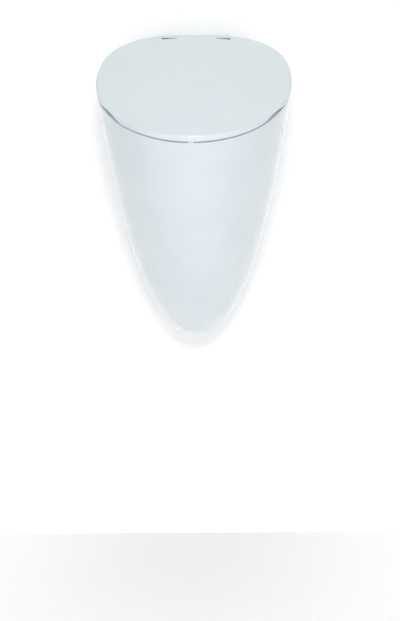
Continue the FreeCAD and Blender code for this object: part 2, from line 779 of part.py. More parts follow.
def make_strainer():
    """Sieve in the bowl's outlet, its screw and the gasket under the ceramic."""
    base = facing(point(0, size("outlet_depth"), size("bowl_floor") - size("strainer_neck_length")), Z)
    neck = "strainer_neck_length"
    neck_inside = "strainer_neck - strainer_neck_wall"
    face = f"{neck} + strainer_thick"
    disc = turned("strainer_disc", base,
                  [("screw_radius + slip_gap", neck), (neck_inside, neck), (neck_inside, "0"),
                   ("strainer_neck", "0"), ("strainer_neck", neck), ("strainer_radius", neck),
                   ("strainer_radius - strainer_thick", face), ("screw_radius + slip_gap", face)])
    holes = []
    for ring_size, count in (("sieve_ring_inner", 6), ("sieve_ring_outer", 12)):
        for number in range(count):
            angle = 2.0 * math.pi * number / count
            offset = FreeCAD.Vector(math.cos(angle), math.sin(angle), 0) * size(ring_size)
            place = FreeCAD.Placement(base.multVec(offset), FreeCAD.Rotation())
            holes.append(primitive("Cylinder", f"sieve_hole_{count}_{number}", place,
                                   Radius="sieve_hole", Height=f"{face} + {neck}"))
    strainer = joined("Cut", "outlet_strainer", [disc] + holes)
    screw_top = total("bowl_floor + strainer_thick + screw_head_height")
    screw = turned("strainer_screw", facing(point(0, size("outlet_depth"), screw_top), -Z),
                   [("0", "0"), ("screw_head", "1"), ("screw_head", "screw_head_height"),
                    ("screw_radius", "screw_head_height"), ("screw_radius", "screw_length"),
                    ("0", "screw_length")])
    under = facing(point(0, size("outlet_depth"), size("bowl_floor") - size("bowl_skin")), -Z)
    gasket = ring("outlet_gasket", under, "outlet_hole + loose_gap", "trap_flange",
                  "0", "outlet_gasket_thick")
    return [strainer, screw, gasket]


def make_trap():
    """Trap in the hollow back: inlet flange, water seal bend, riser and wall socket."""
    inlet = size("outlet_depth")
    riser = size("trap_rise_depth")
    bend_height = size("trap_bend_height")
    bend = (inlet - riser) / 2
    elbow = size("trap_elbow")
    waste = size("waste_height")
    flange_top = total("bowl_floor - bowl_skin - outlet_gasket_thick")
    flange_low = flange_top - size("trap_flange_thick")
    socket_end = size("waste_start") + size("waste_length")
    slant = math.sqrt(0.5)

    def run(start, end):
        return Part.makeLine(point(0, *start), point(0, *end))

    def turn(start, middle, end):
        return Part.Arc(point(0, *start), point(0, *middle), point(0, *end)).toShape()

    path = Part.Wire([
        run((inlet, flange_low), (inlet, bend_height)),
        turn((inlet, bend_height), (inlet - bend, bend_height - bend), (riser, bend_height)),
        run((riser, bend_height), (riser, waste - elbow)),
        turn((riser, waste - elbow), (riser - elbow * (1 - slant), waste - elbow * (1 - slant)),
             (riser - elbow, waste)),
        run((riser - elbow, waste), (socket_end, waste)),
    ])

    def tube(radius):
        circle = Part.Wire([Part.makeCircle(radius, point(0, inlet, flange_low), Z)])
        return path.makePipeShell([circle], True, True)

    top = point(0, inlet, flange_top)
    low = point(0, inlet, flange_low)
    funnel_length = size("funnel_length")
    funnel_top = size("outlet_hole") + size("funnel_rim")
    wall = size("waste_wall")
    outside = tube(size("trap_radius"))
    outside = outside.fuse(rod(top, -Z, size("trap_flange"), size("trap_flange_thick")))
    outside = outside.fuse(Part.makeCone(funnel_top, size("trap_radius"), funnel_length, low, -Z))
    back = point(0, socket_end + wall, waste)
    outside = outside.fuse(rod(back, Y, size("waste_radius"), size("waste_length") + wall))

    bore_length = size("trap_flange_thick") + funnel_length
    bore_top = size("outlet_hole") - size("loose_gap")
    inside = tube(size("trap_bore"))
    inside = inside.fuse(Part.makeCone(bore_top, size("trap_bore"), bore_length, top, -Z))
    bore_back = point(0, socket_end, waste)
    inside = inside.fuse(rod(bore_back, Y, size("waste_bore"), size("waste_length") + wall))
    seal_place = facing(point(0, size("waste_start") + size("seal_start"), waste), OUT)
    groove_radius = size("waste_bore") + size("seal_depth")
    inside = inside.fuse(rod(seal_place.Base, OUT, groove_radius, size("waste_seal_width")))

    arm_thick = size("arm_thick")
    arm_corner = point(-size("arm_length") / 2, inlet + size("arm_width") / 2, flange_low - arm_thick)
    arm = Part.makeBox(size("arm_length"), size("arm_width"), arm_thick, arm_corner)
    boss = rod(low, -Z, size("boss_radius"), arm_thick)
    thread = rod(top, -Z, size("screw_radius"), 3 * arm_thick)
    edge = size("loose_gap")
    funnel = Part.makeCone(funnel_top - edge, size("trap_radius") - edge, funnel_length, low, -Z)
    bridge = arm.fuse(boss).common(funnel).cut(thread)

    body = outside.cut(inside).fuse(bridge).removeSplitter().Solids[0]
    seal = ring("waste_lip_seal", seal_place, "waste_bore", "waste_bore + seal_depth",
                "0", "waste_seal_width")
    return [solid_feature("trap_body", body), seal]


# ---------------------------------------------------------------- the whole urinal

def make_lid_pieces():
    """The lid's shell and the three buffers under its skirt."""
    pieces = [solid_feature("lid_shell", make_lid_shell())]
    front = size("depth") - size("buffer_inset") - size("buffer_length") / 2
    pieces.append(solid_feature("front_buffer", make_buffer(0, front)))
    depth = size("side_buffer_depth")
    edge = half_width(rim_height(depth)) - size("buffer_inset") - size("buffer_width") / 2
    for name, side in SIDES.items():
        pieces.append(solid_feature(f"side_buffer_{name}", make_buffer(side * edge, depth)))
    return pieces


def main():
    """Build every piece, check it and write it to its own file."""
    nodes = [solid_feature("bowl_body", make_bowl_body())]
    nodes += make_lid_pieces()
    for name, side in SIDES.items():
        nodes += make_hinge(name, side)
        nodes.append(make_fixing_bush(name, side))
    nodes += make_inlet()
    nodes += make_strainer()
    nodes += make_trap()
    doc.recompute()
    failed = [o.Name for o in doc.Objects if "Invalid" in o.State or "Error" in o.State]
    if failed:
        raise RuntimeError(f"features failed: {failed}")
    os.makedirs("parts", exist_ok=True)
    for node in nodes:
        shape = node.Shape
        if shape.isNull() or not shape.isValid() or shape.Volume <= 0:
            raise RuntimeError(f"{node.Label} has no valid shape")
        shape.exportStep(f"parts/{node.Label}.step")
        print(f"{node.Label:28s} {len(shape.Solids)} solid(s) {shape.Volume / 1000:10.2f} cm3")


if __name__ == "__main__":
    main()
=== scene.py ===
"""Looks of a wall hung urinal with a soft-closing lid.

The sizes of the pieces are millimetres, as on the maker's drawing: x across, depth outwards from the
wall and height up from the lowest tip of the ceramic.  `upright` and `Deck` turn them into the shared
frame, whose origin lies on the wall, midway between the two wall fixings.  The sizes of the studio
are metres in that frame.
"""

from __future__ import annotations

import json
import logging
import math
from dataclasses import dataclass, field
from enum import Enum
from typing import Iterable, Sequence

import bmesh
import bpy
from mathutils import Matrix, Vector


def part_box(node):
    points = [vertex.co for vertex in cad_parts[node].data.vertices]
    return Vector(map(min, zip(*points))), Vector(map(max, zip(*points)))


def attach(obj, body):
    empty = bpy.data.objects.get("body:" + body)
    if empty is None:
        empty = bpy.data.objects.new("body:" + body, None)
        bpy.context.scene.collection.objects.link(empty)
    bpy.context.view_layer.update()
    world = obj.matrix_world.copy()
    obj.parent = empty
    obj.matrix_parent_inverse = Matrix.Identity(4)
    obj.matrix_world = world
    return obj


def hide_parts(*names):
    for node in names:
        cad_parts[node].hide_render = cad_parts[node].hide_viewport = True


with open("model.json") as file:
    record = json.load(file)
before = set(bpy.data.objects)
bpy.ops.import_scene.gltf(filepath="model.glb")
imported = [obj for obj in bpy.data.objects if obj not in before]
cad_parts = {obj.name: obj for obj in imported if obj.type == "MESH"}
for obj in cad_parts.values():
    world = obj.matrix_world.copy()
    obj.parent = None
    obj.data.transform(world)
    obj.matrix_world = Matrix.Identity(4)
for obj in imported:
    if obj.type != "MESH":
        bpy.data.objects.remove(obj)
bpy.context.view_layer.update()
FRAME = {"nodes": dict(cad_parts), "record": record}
SLOTS: dict[str, str] = {entry["node"]: entry["material_slot"] for entry in FRAME["record"]["subparts"]}

LOG = logging.getLogger("urinal")

MM = 0.001  # metres in a millimetre
FIXING_HEIGHT = 390.0  # height of the wall fixings above the tip
SIDES = {"left": -1.0, "right": 1.0}  # sign of x on each side

SOFT_CREASE = 32.0  # degrees above which an edge stays sharp
ROUND_STEPS = 64  # segments round a turned piece
ARC_PARTS = 3  # segments of a rounded edge
ROUND_START = 0.3  # share of an edge's radius at which its first ring lies

THREAD_STEPS = 28  # segments round a threaded rod
THREAD_RINGS = 6  # rings in one turn of a thread
THREAD_DEPTH = 0.54  # depth of a thread, per pitch
THREAD_FLANK = 1.6  # steepness of its flanks, which leave a flat root above 1
THREAD_CHAMFER = 1.2  # chamfer of a rod's ends, per thread depth

Pair = tuple[float, float]
Triple = tuple[float, float, float]
Colour = tuple[float, float, float, float]
Ring = list[int]
Piece = bpy.types.Object
Socket = bpy.types.NodeSocket


class Body(Enum):
    """The two rigid bodies of the object."""

    BOWL = "bowl"
    LID = "lid"


class Carving(Enum):
    """The ways in which a tool changes a piece."""

    CUT = "DIFFERENCE"
    JOIN = "UNION"


# ---------------------------------------------------------------- mesh tools


def turns(steps: int) -> list[float]:
    """Equal angles all the way round."""
    return [2.0 * math.pi * step / steps for step in range(steps)]


def polar(radius: float, turn: float, height: float) -> Vector:
    """Place at a radius and an angle round the Z axis, and at a height on it."""
    return Vector((radius * math.cos(turn), radius * math.sin(turn), height))


def on_axis(height: float) -> Vector:
    """Place on the Z axis."""
    return Vector((0.0, 0.0, height))


@dataclass
class MeshDraft:
    """Vertices and faces of one piece, grown ring by ring."""

    points: list[Vector] = field(default_factory=list)
    faces: list[tuple[int, ...]] = field(default_factory=list)

    def ring(self, places: Iterable[Vector]) -> Ring:
        """Add a ring of vertices.

        Args:
            places: the vertices, in order round the ring.

        Returns:
            Their indices.
        """
        start = len(self.points)
        self.points.extend(places)
        return list(range(start, len(self.points)))

    def bridge(self, first: Ring, second: Ring) -> None:
        """Join two rings of the same length with quads.

        Args:
            first: indices of the first ring.
            second: indices of the second ring.
        """
        count = len(first)
        for index in range(count):
            after = (index + 1) % count
            self.faces.append((first[index], first[after], second[after], second[index]))

    def fan(self, ring: Ring, middle: Vector, flip: bool = False) -> None:
        """Close a ring with triangles that meet in a middle vertex.

        Args:
            ring: indices of the ring.
            middle: place of the middle vertex.
            flip: whether the triangles turn the other way.
        """
        hub = self.ring([middle])[0]
        for index, corner in enumerate(ring):
            after = ring[(index + 1) % len(ring)]
            self.faces.append((after, corner, hub) if flip else (corner, after, hub))

    def stack(self, levels: Iterable[Iterable[Vector]], foot: Vector, top: Vector) -> None:
        """Skin a stack of rings and close both of its ends.

        Args:
            levels: the vertices of each ring, from the foot to the top.
            foot: middle of the foot.
            top: middle of the top.
        """
        previous: Ring = []
        for places in levels:
            ring = self.ring(places)
            if previous:
                self.bridge(previous, ring)
            else:
                self.fan(ring, foot, flip=True)
            previous = ring
        self.fan(previous, top)

    def build(self, name: str) -> Piece:
        """Make the object, with its faces turned outwards.

        Args:
            name: name of the object.

        Returns:
            The new object, linked to the scene.
        """
        mesh = bpy.data.meshes.new(name)
        mesh.from_pydata([tuple(point) for point in self.points], [], self.faces)
        work = bmesh.new()
        work.from_mesh(mesh)
        bmesh.ops.recalc_face_normals(work, faces=work.faces)
        work.to_mesh(mesh)
        work.free()
        piece = bpy.data.objects.new(name, mesh)
        bpy.context.scene.collection.objects.link(piece)
        return piece


def bake_modifiers(piece: Piece) -> None:
    """Replace a piece's mesh by the result of its modifiers.

    Args:
        piece: the piece, which keeps no modifier.
    """
    graph = bpy.context.evaluated_depsgraph_get()
    mesh = bpy.data.meshes.new_from_object(piece.evaluated_get(graph))
    piece.modifiers.clear()
    piece.data = mesh


def carve(piece: Piece, tool: Piece, way: Carving) -> None:
    """Combine a piece with a tool, which is used up.

    Args:
        piece: the piece that keeps the result.
        tool: the closed mesh that is taken away or added.
        way: whether the tool is taken away or added.
    """
    modifier = piece.modifiers.new("Carve", "BOOLEAN")
    modifier.operation = way.value
    modifier.solver = "EXACT"
    modifier.object = tool
    bake_modifiers(piece)
    bpy.data.objects.remove(tool)


def shade(piece: Piece, crease: float) -> None:
    """Shade a piece smoothly, with some of its edges sharp.

    Args:
        piece: the piece.
        crease: angle in degrees above which an edge stays sharp.
    """
    mesh = piece.data
    mesh.polygons.foreach_set("use_smooth", [True] * len(mesh.polygons))
    mesh.set_sharp_from_angle(angle=math.radians(crease))
    mesh.update()


def turned(name: str, base: Matrix, profile: Sequence[Pair], steps: int = ROUND_STEPS) -> Piece:
    """Closed solid of revolution.

    Args:
        name: name of the object.
        base: placement whose Z is the axis.
        profile: (radius, height) corners in millimetres, from the foot of the axis to its top.
        steps: number of segments round the axis.

    Returns:
        The new object.
    """
    levels = [[base @ polar(radius, turn, height) for turn in turns(steps)] for radius, height in profile]
    draft = MeshDraft()
    draft.stack(levels, base @ on_axis(profile[0][1]), base @ on_axis(profile[-1][1]))
    return draft.build(name)


def revolved(name: str, base: Matrix, section: Sequence[Pair], steps: int = ROUND_STEPS) -> Piece:
    """Ring whose closed section is swept round an axis.

    Args:
        name: name of the object.
        base: placement whose Z is the axis.
        section: (radius, height) corners of the closed section, in millimetres.
        steps: number of segments round the axis.

    Returns:
        The new object.
    """
    draft = MeshDraft()
    rings = [draft.ring(base @ polar(radius, turn, height) for radius, height in section)
             for turn in turns(steps)]
    for first, second in zip(rings, rings[1:] + rings[:1]):
        draft.bridge(first, second)
    return draft.build(name)


def annulus(name: str, base: Matrix, inner: float, outer: float, low: float, high: float,
            edge: float) -> Piece:
    """Turned ring of rectangular section with rounded edges.

    Args:
        name: name of the object.
        base: placement whose Z is the axis.
        inner: inner radius.
        outer: outer radius.
        low: height of the lower face.
        high: height of the upper face.
        edge: radius of the edges.

    Returns:
        The new object.
    """
    section: list[Pair] = []
    for radius, height, start in ((outer - edge, low + edge, -90.0), (outer - edge, high - edge, 0.0),
                                  (inner + edge, high - edge, 90.0), (inner + edge, low + edge, 180.0)):
        for part in range(ARC_PARTS + 1):
            turn = math.radians(start + 90.0 / ARC_PARTS * part)
            section.append((radius + edge * math.cos(turn), height + edge * math.sin(turn)))
    return revolved(name, base, section)


def threaded(name: str, base: Matrix, radius: float, pitch: float, length: float) -> Piece:
    """Threaded rod with chamfered ends.

    Args:
        name: name of the object.
        base: placement whose Z is the rod's axis, from its first end.
        radius: outer radius of the thread.
        pitch: rise of one turn.
        length: length of the rod.

    Returns:
        The new object.
    """
    depth = THREAD_DEPTH * pitch
    count = int(length / pitch * THREAD_RINGS)
    levels = []
    for level in range(count + 1):
        height = length * level / count
        end = min(height, length - height)
        circle = []
        for step in range(THREAD_STEPS):
            share = step / THREAD_STEPS
            phase = (height / pitch - share) % 1.0
            flank = min(1.0, THREAD_FLANK * abs(2.0 * phase - 1.0))
            reach = min(radius - depth * flank, radius - THREAD_CHAMFER * depth + end)
            circle.append(base @ polar(reach, 2.0 * math.pi * share, height))
        levels.append(circle)
    draft = MeshDraft()
    draft.stack(levels, base @ on_axis(0.0), base @ on_axis(length))
    return draft.build(name)


def slab(name: str, base: Matrix, outline: Sequence[Pair], thick: float, edge: float) -> Piece:
    """Plate with a closed outline in its X-Z plane and rounded edges.

    Args:
        name: name of the object.
        base: placement of the plate, whose middle plane is Y = 0.
        outline: (x, z) corners, in order.
        thick: thickness along Y.
        edge: radius of the edges.

    Returns:
        The new object.
    """
    middle_x = sum(x for x, _ in outline) / len(outline)
    middle_z = sum(z for _, z in outline) / len(outline)
    half = thick / 2.0
    start = ROUND_START * edge
    levels = []
    for y, inset in ((-half, edge), (-half + start, start), (-half + edge, 0.0),
                     (half - edge, 0.0), (half - start, start), (half, edge)):
        places = []
        for x, z in outline:
            share = 1.0 - inset / math.hypot(x - middle_x, z - middle_z)
            places.append(base @ Vector((middle_x + (x - middle_x) * share, y,
                                         middle_z + (z - middle_z) * share)))
        levels.append(places)
    draft = MeshDraft()
    draft.stack(levels, base @ Vector((middle_x, -half, middle_z)), base @ Vector((middle_x, half, middle_z)))
    return draft.build(name)


# ---------------------------------------------------------------- places on the object


def upright(x: float, depth: float, height: float, direction: Vector) -> Matrix:
    """Placement for millimetres whose Z points along a direction of the shared frame."""
    turn = direction.to_track_quat("Z", "Y").to_matrix().to_4x4()
    return Matrix.Scale(MM, 4) @ Matrix.Translation((x, -depth, height - FIXING_HEIGHT)) @ turn


@dataclass(frozen=True)
class Deck:
    """The top of the ceramic, which is a shallow arc in side view."""

    rim_height: float = 480.0
    lip_height: float = 368.0
    depth: float = 315.0
    radius: float = 5000.0
    hinge_depth: float = 27.0
    hinge_spacing: float = 86.0

    def centre(self) -> Pair:
        """Centre of the arc.

        Returns:
            Its depth and its height.
        """
        rise = self.lip_height - self.rim_height
        chord = math.hypot(self.depth, rise)
        drop = math.sqrt(self.radius**2 - chord**2 / 4.0)
        middle = (self.rim_height + self.lip_height) / 2.0
        return self.depth / 2.0 + drop * rise / chord, middle - drop * self.depth / chord

    def tilt(self, depth: float) -> Matrix:
        """Turn about X that lays a piece flat on the arc at a depth."""
        return Matrix.Rotation(math.asin((depth - self.centre()[0]) / self.radius), 4, "X")

    def hinge(self, side: float) -> Matrix:
        """Placement for millimetres under a hinge, its Z square to the arc.

        Args:
            side: -1 for the left hinge, 1 for the right one.

        Returns:
            The placement.
        """
        centre = self.centre()
        run = self.hinge_depth - centre[0]
        height = centre[1] + math.sqrt(self.radius**2 - run**2)
        place = (side * self.hinge_spacing / 2.0, -self.hinge_depth, height - FIXING_HEIGHT)
        return Matrix.Scale(MM, 4) @ Matrix.Translation(place) @ self.tilt(self.hinge_depth)


DECK = Deck()


# ---------------------------------------------------------------- shader groups


MIX_SHARE, MIX_FIRST, MIX_SECOND, MIX_RESULT = 0, 6, 7, 2  # a Mix node's sockets for colours
DUST_PER_FILM = 9.0  # how much finer dust is than the drops that it dries in
LINE_STRETCH = (0.04, 1.0, 1.0)  # brushed lines run along X


class Wiring:
    """Short hand for adding and joining shader nodes in one tree."""

    def __init__(self, tree: bpy.types.NodeTree) -> None:
        """Keep the tree that the nodes go into."""
        self.tree = tree

    def node(self, kind: str, **settings: object) -> bpy.types.Node:
        """Add a node.

        Args:
            kind: the node's type, without its ShaderNode prefix.
            settings: attributes of the node.

        Returns:
            The new node.
        """
        node = self.tree.nodes.new(kind if kind.startswith("Node") else f"ShaderNode{kind}")
        for name, value in settings.items():
            setattr(node, name, value)
        return node

    def feed(self, socket: Socket, value: object) -> None:
        """Link a socket to another one, or set its value.

        Args:
            socket: the socket that takes the value.
            value: a socket, a number or a colour.
        """
        if isinstance(value, Socket):
            self.tree.links.new(value, socket)
        else:
            socket.default_value = value

    def place(self) -> Socket:
        """Coordinates in the object's own frame."""
        return self.node("TexCoord").outputs["Object"]

    def math(self, operation: str, first: object, second: object) -> Socket:
        """Combine two numbers.

        Args:
            operation: Blender's name of the operation.
            first: a number or a socket.
            second: a number or a socket.

        Returns:
            The result.
        """
        node = self.node("Math", operation=operation)
        self.feed(node.inputs[0], first)
        self.feed(node.inputs[1], second)
        return node.outputs[0]

    def noise(self, place: Socket, scale: object, detail: float = 2.0, rough: float = 0.5) -> Socket:
        """Value of a Noise texture.

        Args:
            place: the coordinates.
            scale: noise scale, per metre.
            detail: octaves of the noise.
            rough: share that each octave keeps.

        Returns:
            The noise, from about 0 to 1.
        """
        node = self.node("TexNoise")
        self.feed(node.inputs["Vector"], place)
        self.feed(node.inputs["Scale"], scale)
        node.inputs["Detail"].default_value = detail
        node.inputs["Roughness"].default_value = rough
        return node.outputs["Fac"]

    def ramp(self, value: object, low: float, high: float) -> Socket:
        """Smooth step between two limits.

        Args:
            value: a number or a socket.
            low: value that gives 0.
            high: value that gives 1.

        Returns:
            The step, from 0 to 1.
        """
        node = self.node("MapRange", interpolation_type="SMOOTHSTEP")
        self.feed(node.inputs["Value"], value)
        node.inputs["From Min"].default_value = low
        node.inputs["From Max"].default_value = high
        return node.outputs["Result"]

    def blend(self, share: object, first: object, second: object) -> Socket:
        """Mix two colours.

        Args:
            share: share of the second colour.
            first: a colour or a socket.
            second: a colour or a socket.

        Returns:
            The mixed colour.
        """
        node = self.node("Mix", data_type="RGBA")
        self.feed(node.inputs[MIX_SHARE], share)
        self.feed(node.inputs[MIX_FIRST], first)
        self.feed(node.inputs[MIX_SECOND], second)
        return node.outputs[MIX_RESULT]


class Effect(Enum):
    """The effects that several materials share, each a node group of this name."""

    RIPPLE = "surface ripple"
    MOTTLE = "colour mottle"
    RESIDUE = "dried residue"
    BRUSHING = "brushed lines"
    GRAIN = "moulded grain"


def group_shell(effect: Effect, inputs: dict[str, float],
                output: str) -> tuple[Wiring, dict[str, Socket], Socket]:
    """Empty node group with named inputs and one output.

    Args:
        effect: which effect the group makes.
        inputs: names of the number inputs, with their defaults.
        output: name of the output.

    Returns:
        The wiring, the inner sockets of the inputs and the socket that takes the result.
    """
    tree = bpy.data.node_groups.new(effect.value, "ShaderNodeTree")
    for name, value in inputs.items():
        socket = tree.interface.new_socket(name, in_out="INPUT", socket_type="NodeSocketFloat")
        socket.default_value = value
    tree.interface.new_socket(output, in_out="OUTPUT", socket_type="NodeSocketFloat")
    wiring = Wiring(tree)
    entry = wiring.node("NodeGroupInput")
    sink = wiring.node("NodeGroupOutput")
    return wiring, {name: entry.outputs[name] for name in inputs}, sink.inputs[output]


def make_ripple() -> None:
    """Slow waves of a fired glaze or a moulded skin, with a fine orange peel on them."""
    defaults = {"Wave scale": 30.0, "Peel scale": 700.0, "Peel share": 0.06}
    wiring, given, result = group_shell(Effect.RIPPLE, defaults, "Height")
    place = wiring.place()
    wave = wiring.noise(place, given["Wave scale"], detail=1.0)
    peel = wiring.noise(place, given["Peel scale"])
    wiring.feed(result, wiring.math("ADD", wave, wiring.math("MULTIPLY", peel, given["Peel share"])))


def make_mottle() -> None:
    """Cloudy mask of slight differences in colour."""
    wiring, given, result = group_shell(Effect.MOTTLE, {"Scale": 12.0, "Strength": 1.0}, "Mask")
    noise = wiring.noise(wiring.place(), given["Scale"], detail=4.0, rough=0.6)
    clouds = wiring.ramp(noise, low=0.35, high=0.65)
    wiring.feed(result, wiring.math("MULTIPLY", clouds, given["Strength"]))


def make_residue() -> None:
    """Patchy film of dried drops and fine dust."""
    wiring, given, result = group_shell(Effect.RESIDUE, {"Scale": 90.0, "Amount": 0.3}, "Mask")
    place = wiring.place()
    film = wiring.ramp(wiring.noise(place, given["Scale"], detail=6.0, rough=0.7), low=0.45, high=0.75)
    dust = wiring.noise(place, wiring.math("MULTIPLY", given["Scale"], DUST_PER_FILM))
    wiring.feed(result, wiring.math("MULTIPLY", wiring.math("MULTIPLY", film, dust), given["Amount"]))


def make_brushing() -> None:
    """Fine lines along X, as a brush or a lathe leaves them."""
    wiring, given, result = group_shell(Effect.BRUSHING, {"Scale": 400.0}, "Height")
    stretch = wiring.node("Mapping")
    stretch.inputs["Scale"].default_value = LINE_STRETCH
    wiring.feed(stretch.inputs["Vector"], wiring.place())
    wiring.feed(result, wiring.noise(stretch.outputs[0], given["Scale"], detail=3.0))


def make_grain() -> None:
    """Spark-eroded grain of a moulding or of cast rubber."""
    wiring, given, result = group_shell(Effect.GRAIN, {"Scale": 1500.0}, "Height")
    place = wiring.place()
    cells = wiring.node("TexVoronoi")
    wiring.feed(cells.inputs["Vector"], place)
    wiring.feed(cells.inputs["Scale"], given["Scale"])
    wiring.feed(result, wiring.math("ADD", cells.outputs["Distance"], wiring.noise(place, given["Scale"])))


# ---------------------------------------------------------------- finishes


COOLNESS = 0.2  # how much bluer a grey gets with its tint

GLAZE_RIPPLE = {"Wave scale": 22.0, "Peel scale": 900.0, "Peel share": 0.05}
LID_RIPPLE = {**GLAZE_RIPPLE, "Wave scale": 14.0}


def grey(value: float, tint: float = 0.0) -> Colour:
    """Neutral colour, a little cooler with a tint above 0."""
    return (value * (1.0 - tint), value, value * (1.0 + COOLNESS * tint), 1.0)


@dataclass(frozen=True)
class Finish:
    """One finish: its colours, gloss and surface relief.  Depths are metres."""

    name: str
    colour: Colour
    second: Colour
    roughness: float
    relief: Effect
    relief_inputs: dict[str, float] = field(default_factory=dict)
    relief_depth: float = 0.0001
    relief_strength: float = 0.1
    metallic: float = 0.0
    coat: float = 0.0
    coat_roughness: float = 0.03
    residue: float = 0.15
    mottle_scale: float = 12.0
    translucency: float = 0.0
    scatter_depth: float = 0.004

    def effect(self, wiring: Wiring, effect: Effect, inputs: dict[str, float]) -> Socket:
        """Place an effect's group in the material.

        Args:
            wiring: the material's nodes.
            effect: which effect is placed.
            inputs: the group's inputs that differ from their defaults.

        Returns:
            The group's output.
        """
        node = wiring.node("Group", node_tree=bpy.data.node_groups[effect.value])
        for name, value in inputs.items():
            node.inputs[name].default_value = value
        return node.outputs[0]

    def tint(self, wiring: Wiring) -> Socket:
        """Base colour: two close colours in soft clouds."""
        clouds = self.effect(wiring, Effect.MOTTLE, {"Scale": self.mottle_scale})
        return wiring.blend(clouds, self.colour, self.second)

    def gloss(self, wiring: Wiring) -> Socket:
        """Roughness, a little higher where a film has dried on."""
        film = self.effect(wiring, Effect.RESIDUE, {"Amount": self.residue})
        return wiring.math("ADD", film, self.roughness)

    def build(self) -> bpy.types.Material:
        """Make the material.

        Returns:
            The new material, with all of its nodes.
        """
        material = bpy.data.materials.new(self.name)
        material.use_nodes = True
        wiring = Wiring(material.node_tree)
        shader = material.node_tree.nodes["Principled BSDF"]
        wiring.feed(shader.inputs["Base Color"], self.tint(wiring))
        wiring.feed(shader.inputs["Roughness"], self.gloss(wiring))
        shader.inputs["Metallic"].default_value = self.metallic
        shader.inputs["Coat Weight"].default_value = self.coat
        shader.inputs["Coat Roughness"].default_value = self.coat_roughness
        if self.translucency:
            shader.inputs["Subsurface Weight"].default_value = self.translucency
            shader.inputs["Subsurface Scale"].default_value = self.scatter_depth
        bump = wiring.node("Bump")
        bump.inputs["Strength"].default_value = self.relief_strength
        bump.inputs["Distance"].default_value = self.relief_depth
        wiring.feed(bump.inputs["Height"], self.effect(wiring, self.relief, self.relief_inputs))
        wiring.feed(shader.inputs["Normal"], bump.outputs["Normal"])
        return material


@dataclass(frozen=True)
class GlazeFinish(Finish):
    """White glaze, left off on the flat face that rests on the wall."""

    bare_colour: Colour = (0.66, 0.62, 0.55, 1.0)
    bare_roughness: float = 0.75
    bare_depth: float = 0.0012
    wobble_scale: float = 220.0
    wobble_depth: float = 0.0012

    def bare(self, wiring: Wiring) -> Socket:
        """Mask of the unglazed face on the wall plane.

        Args:
            wiring: the material's nodes.

        Returns:
            The mask, which is 1 on bare clay.
        """
        axes = wiring.node("SeparateXYZ")
        wiring.feed(axes.inputs[0], wiring.place())
        wobble = wiring.math("MULTIPLY", wiring.noise(wiring.place(), self.wobble_scale), self.wobble_depth)
        return wiring.ramp(wiring.math("ADD", axes.outputs["Y"], wobble), low=-self.bare_depth, high=0.0)

    def tint(self, wiring: Wiring) -> Socket:
        """Glaze colour, or that of the fired clay where the glaze is wiped off."""
        return wiring.blend(self.bare(wiring), super().tint(wiring), self.bare_colour)

    def gloss(self, wiring: Wiring) -> Socket:
        """Glossy glaze and a dry, rough clay face."""
        rough = wiring.math("MULTIPLY", self.bare(wiring), self.bare_roughness)
        return wiring.math("ADD", super().gloss(wiring), rough)


